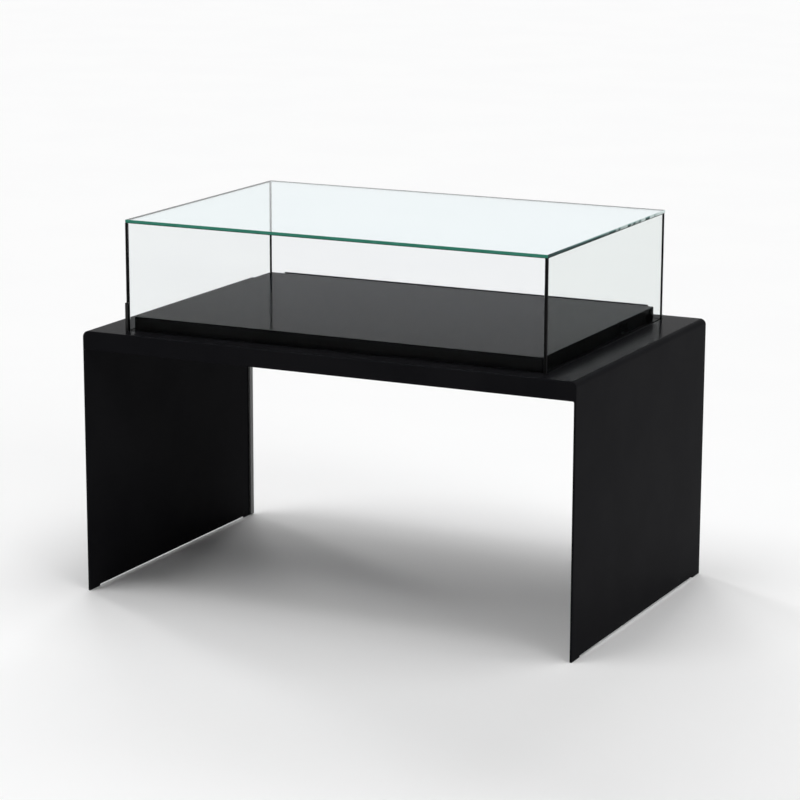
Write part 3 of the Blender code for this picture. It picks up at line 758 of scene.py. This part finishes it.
def grey_cover():
    """Satin grey aluminium, brushed up and down."""
    grey = Finish("satin_grey_aluminium", IOR=1.3, Anisotropic=0.3)
    brush = grey.grain(90.0, 4.0, (10, 10, 0.3))
    lines = grey.ranged(brush, 0.35, 0.65)
    grey.set("Base Color", grey.mixed(lines, (0.16, 0.16, 0.16, 1), (0.21, 0.21, 0.21, 1)))
    grey.set("Roughness", grey.ranged(brush, 0.3, 0.7, 0.32, 0.48))
    grey.bump(brush, 0.06, 0.0002)
    return grey.material


def foot_felt():
    """Dense black felt pad: short matted fibres."""
    felt = Finish("black_felt", IOR=1.2, Sheen_Weight=0.2)
    fibre = felt.grain(900.0, 4.0)
    ends = felt.ranged(fibre, 0.3, 0.7)
    felt.set("Base Color", felt.mixed(ends, (0.008, 0.008, 0.008, 1), (0.022, 0.022, 0.021, 1)))
    felt.set("Roughness", felt.ranged(fibre, 0.3, 0.7, 0.85, 0.98))
    felt.bump(fibre, 0.3, 0.0004)
    return felt.material


def planed_wood():
    """Planed softwood batten: growth lines along its length, and finer lines between them."""
    wood = Finish("planed_wood", IOR=1.4)
    lines = wood.grain(16.0, 5.0, (9, 0.35, 9))
    fine = wood.grain(140.0, 3.0, (6, 0.2, 6))
    growth = wood.ranged(lines, 0.35, 0.62)
    pale = wood.mixed(growth, (0.50, 0.34, 0.19, 1), (0.33, 0.20, 0.10, 1))
    between = wood.ranged(fine, 0.5, 0.8, 0.0, 0.4)
    wood.set("Base Color", wood.mixed(between, pale, (0.24, 0.14, 0.07, 1)))
    wood.set("Roughness", wood.ranged(fine, 0.3, 0.7, 0.5, 0.68))
    wood.bump(fine, 0.12, 0.0004)
    return wood.material


def studio_floor():
    """Plain pale floor with an even, barely mottled tone."""
    pale = Finish("pale_floor", Roughness=0.9, IOR=1.0)
    mottle = pale.ranged(pale.grain(1.5, 2.0), 0.3, 0.7)
    tone = pale.mixed(mottle, (0.926, 0.926, 0.928, 1), (0.934, 0.934, 0.934, 1))
    pale.set("Base Color", tone)
    return pale.material


COAT = black_powder_coat()
LACQUER = deck_lacquer()
# Copies of one glass, tinted apart by pane as painted light and shade: the right pane darker and greener, the left
# a little darker than the front, the lid bluer.
FRONT_GLASS = case_glass(
    "low_reflection_glass", (0.942, 0.950, 0.956, 1), (0.952, 0.960, 0.966, 1), 1.07
)
LEFT_GLASS = case_glass(
    "low_reflection_left_glass", (0.922, 0.938, 0.936, 1), (0.932, 0.948, 0.946, 1), 1.07
)
RIGHT_GLASS = case_glass(
    "low_reflection_right_glass", (0.882, 0.911, 0.896, 1), (0.892, 0.921, 0.906, 1), 1.015
)
TOP_GLASS = case_glass(
    "low_reflection_lid_glass", (0.900, 0.972, 0.990, 1), (0.910, 0.980, 0.996, 1), 1.15
)
GLASS_EDGE = glass_edge()
SEAL = black_seal()
OXIDE = black_oxide()
STEEL = turned_steel()
GREY = grey_cover()
FELT = foot_felt()
WOOD = planed_wood()

slot_finish = {
    "black_coat": COAT,
    "deck_lacquer": LACQUER,
    "glass": FRONT_GLASS,
    "seal": SEAL,
    "hinge_black": OXIDE,
    "pin_steel": STEEL,
    "cover_grey": GREY,
    "pad": FELT,
    "batten": WOOD,
}
for subpart in frame["record"]["subparts"]:
    kept_mesh = cad_nodes[subpart["node"]].data
    kept_mesh.materials.clear()
    kept_mesh.materials.append(slot_finish[subpart["material_slot"]])


def make_table():
    """The welded and drilled table, and everything that is fixed to it apart from the hinge."""
    welded = ("table_shell", "front_apron", "rear_apron")
    table = add_piece("welded_table", table_body(), "table", [COAT], welded)
    _, top = box("table_shell")
    bolt_low, bolt_high = box("lock_bolt")
    through = (top[Z] - 2 * PLATE, top[Z] + PLATE)
    drill(table, [((bolt_low + bolt_high) / 2)[:2]], BOLT_HOLE, *through)
    screw_boxes = [box(node) for node in sorted(cad_nodes) if node.startswith("hinge_screw")]
    drill(table, [((low + high) / 2)[:2] for low, high in screw_boxes], SCREW_HOLE, *through)

    add_piece("deck_cover", deck_cover(), "table", [LACQUER], ("deck_tray",))
    add_piece("cable_channel", channel_cover(), "table", [GREY], ("cable_cover",))
    for side, axis in (("front", X), ("rear", X), ("left", Y), ("right", Y)):
        node = "gasket_" + side
        add_piece("ribbed_" + node, ribbed_gasket(node, axis), "table", [SEAL], (node,))
    for end in CORNERS:
        node = "foot_pad_" + end
        pad = plate(*box(node), Z, **PAD_EDGES)
        add_piece("felt_" + node, pad, "table", [FELT], (node,))
    for number in (1, 2, 3):
        node = f"deck_batten_{number}"
        batten = plate(*box(node), Y, **BATTEN_EDGES)
        add_piece("planed_" + node, batten, "table", [WOOD], (node,))
        node = f"cross_rib_{number}"
        rib = plate(*box(node), X, **RIB_EDGES)
        add_piece("eased_" + node, rib, "table", [COAT], (node,))
    for end in ("left", "right"):
        node = "hinge_stop_" + end
        add_piece("rubber_" + node, stop_wedge(node), "table", [SEAL], (node,))


def make_hood():
    """The five panes and the four corner seals. A pane's last two faces are its broad ones."""
    points, faces = plate(*box("glass_top"), Z, TOP_ARRIS, TOP_ARRIS)
    on_edge = np.arange(len(faces)) < len(faces) - 2
    lid = [TOP_GLASS, GLASS_EDGE]
    add_piece("pane_top", (points, faces), "hood", lid, ("glass_top",), on_edge)
    walls = {
        "front": (Y, FRONT_GLASS),
        "rear": (Y, FRONT_GLASS),
        "left": (X, LEFT_GLASS),
        "right": (X, RIGHT_GLASS),
    }
    for side, (axis, clear) in walls.items():
        node = "glass_" + side
        low, high = box(node)
        points, faces = plate(low, high, axis, GLASS_ARRIS, GLASS_ARRIS)
        lowest = points[np.array(faces[:-2])][..., Z].min(axis=1)
        bonded = np.zeros(len(faces), dtype=bool)
        bonded[:-2] = (lowest > high[Z] - 2 * GLASS_ARRIS) & (side in BLACK_BONDS)
        pane = (points, faces)
        add_piece("pane_" + side, pane, "hood", [clear, SEAL], (node,), bonded)
    for end in CORNERS:
        node = "corner_seal_" + end
        low, high = box(node)
        high[X] += BEAD_SWELL.get(end, 0)
        bar = plate(low, high, Z, **BEAD_EDGES)
        add_piece("bar_" + node, bar, "hood", [SEAL], (node,))


def make_hinge():
    """The two leaves of the long hinge, and the case of the lock."""
    moving_low, moving_high = box("hinge_moving_leaf")
    fixed_low, fixed_high = box("hinge_fixed_leaf")
    moving = hinge_leaf(0, Y, moving_low[Y], moving_low[Y] + LEAF, moving_high[Z])
    fixed = hinge_leaf(1, Z, fixed_low[Z], fixed_low[Z] + LEAF, fixed_high[Y])
    black = [OXIDE]
    add_piece("rolled_moving_leaf", moving, "hood", black, ("hinge_moving_leaf",))
    add_piece("rolled_fixed_leaf", fixed, "table", black, ("hinge_fixed_leaf",))
    add_piece("lock_case", lock_body(), "hood", black, ("lock_housing",))


def make_camera():
    """A long lens to the right of the case, a little above it."""
    lens = bpy.data.cameras.new("camera")
    lens.sensor_width = 36
    lens.lens = 129.6
    lens.shift_x = 0.0496
    lens.shift_y = 0.0353
    lens.clip_end = 200
    camera = bpy.data.objects.new("camera", lens)
    camera.location = (3.3016, -6.7235, 2.1881)
    camera.rotation_euler = (math.radians(76.76), 0, math.radians(26.91))
    bpy.context.scene.collection.objects.link(camera)
    bpy.context.scene.camera = camera


def make_floor():
    """One large square under the case."""
    corners = FLOOR_REACH * np.array([[-1, -1, 0], [1, -1, 0], [1, 1, 0], [-1, 1, 0]])
    mesh = bpy.data.meshes.new("floor")
    mesh.from_pydata(corners.tolist(), [], [[0, 1, 2, 3]])
    mesh.materials.append(studio_floor())
    floor = bpy.data.objects.new("floor", mesh)
    bpy.context.scene.collection.objects.link(floor)


def make_world():
    """White to the eye, in gloss and through glass; a low fill for everything else."""
    world = bpy.data.worlds.new("studio")
    world.use_nodes = True
    tree = world.node_tree
    background = tree.nodes["Background"]
    background.inputs["Color"].default_value = (1, 1, 1, 1)
    path = tree.nodes.new("ShaderNodeLightPath")
    seen = tree.nodes.new("ShaderNodeMath")
    seen.operation = "ADD"
    tree.links.new(path.outputs["Is Camera Ray"], seen.inputs[0])
    tree.links.new(path.outputs["Is Glossy Ray"], seen.inputs[1])
    shown = tree.nodes.new("ShaderNodeMath")
    shown.operation = "ADD"
    shown.use_clamp = True
    tree.links.new(seen.outputs["Value"], shown.inputs[0])
    tree.links.new(path.outputs["Is Transmission Ray"], shown.inputs[1])
    level = tree.nodes.new("ShaderNodeMapRange")
    tree.links.new(shown.outputs["Value"], level.inputs["Value"])
    level.inputs["To Min"].default_value = WORLD_FILL
    level.inputs["To Max"].default_value = WORLD_WHITE
    tree.links.new(level.outputs["Result"], background.inputs["Strength"])
    bpy.context.scene.world = world


def make_lamp(name, strength, width, elevation, azimuth):
    """A broad lamp far away: azimuth 0 is the visitor's side and 90 the right-hand end."""
    lamp = bpy.data.lights.new(name, "SUN")
    lamp.energy = strength
    lamp.angle = math.radians(width)
    rise, turn = math.radians(elevation), math.radians(azimuth)
    level = math.cos(rise)
    towards = Vector((level * math.sin(turn), -level * math.cos(turn), math.sin(rise)))
    holder = bpy.data.objects.new(name, lamp)
    holder.rotation_euler = towards.to_track_quat("Z", "Y").to_euler()
    holder.visible_glossy = False
    holder.visible_transmission = False
    bpy.context.scene.collection.objects.link(holder)


make_table()
make_hood()
make_hinge()
make_camera()
make_floor()
make_world()
for lamp_name, lamp_settings in LAMPS.items():
    make_lamp(lamp_name, *lamp_settings)
bpy.context.scene.view_settings.view_transform = "Standard"
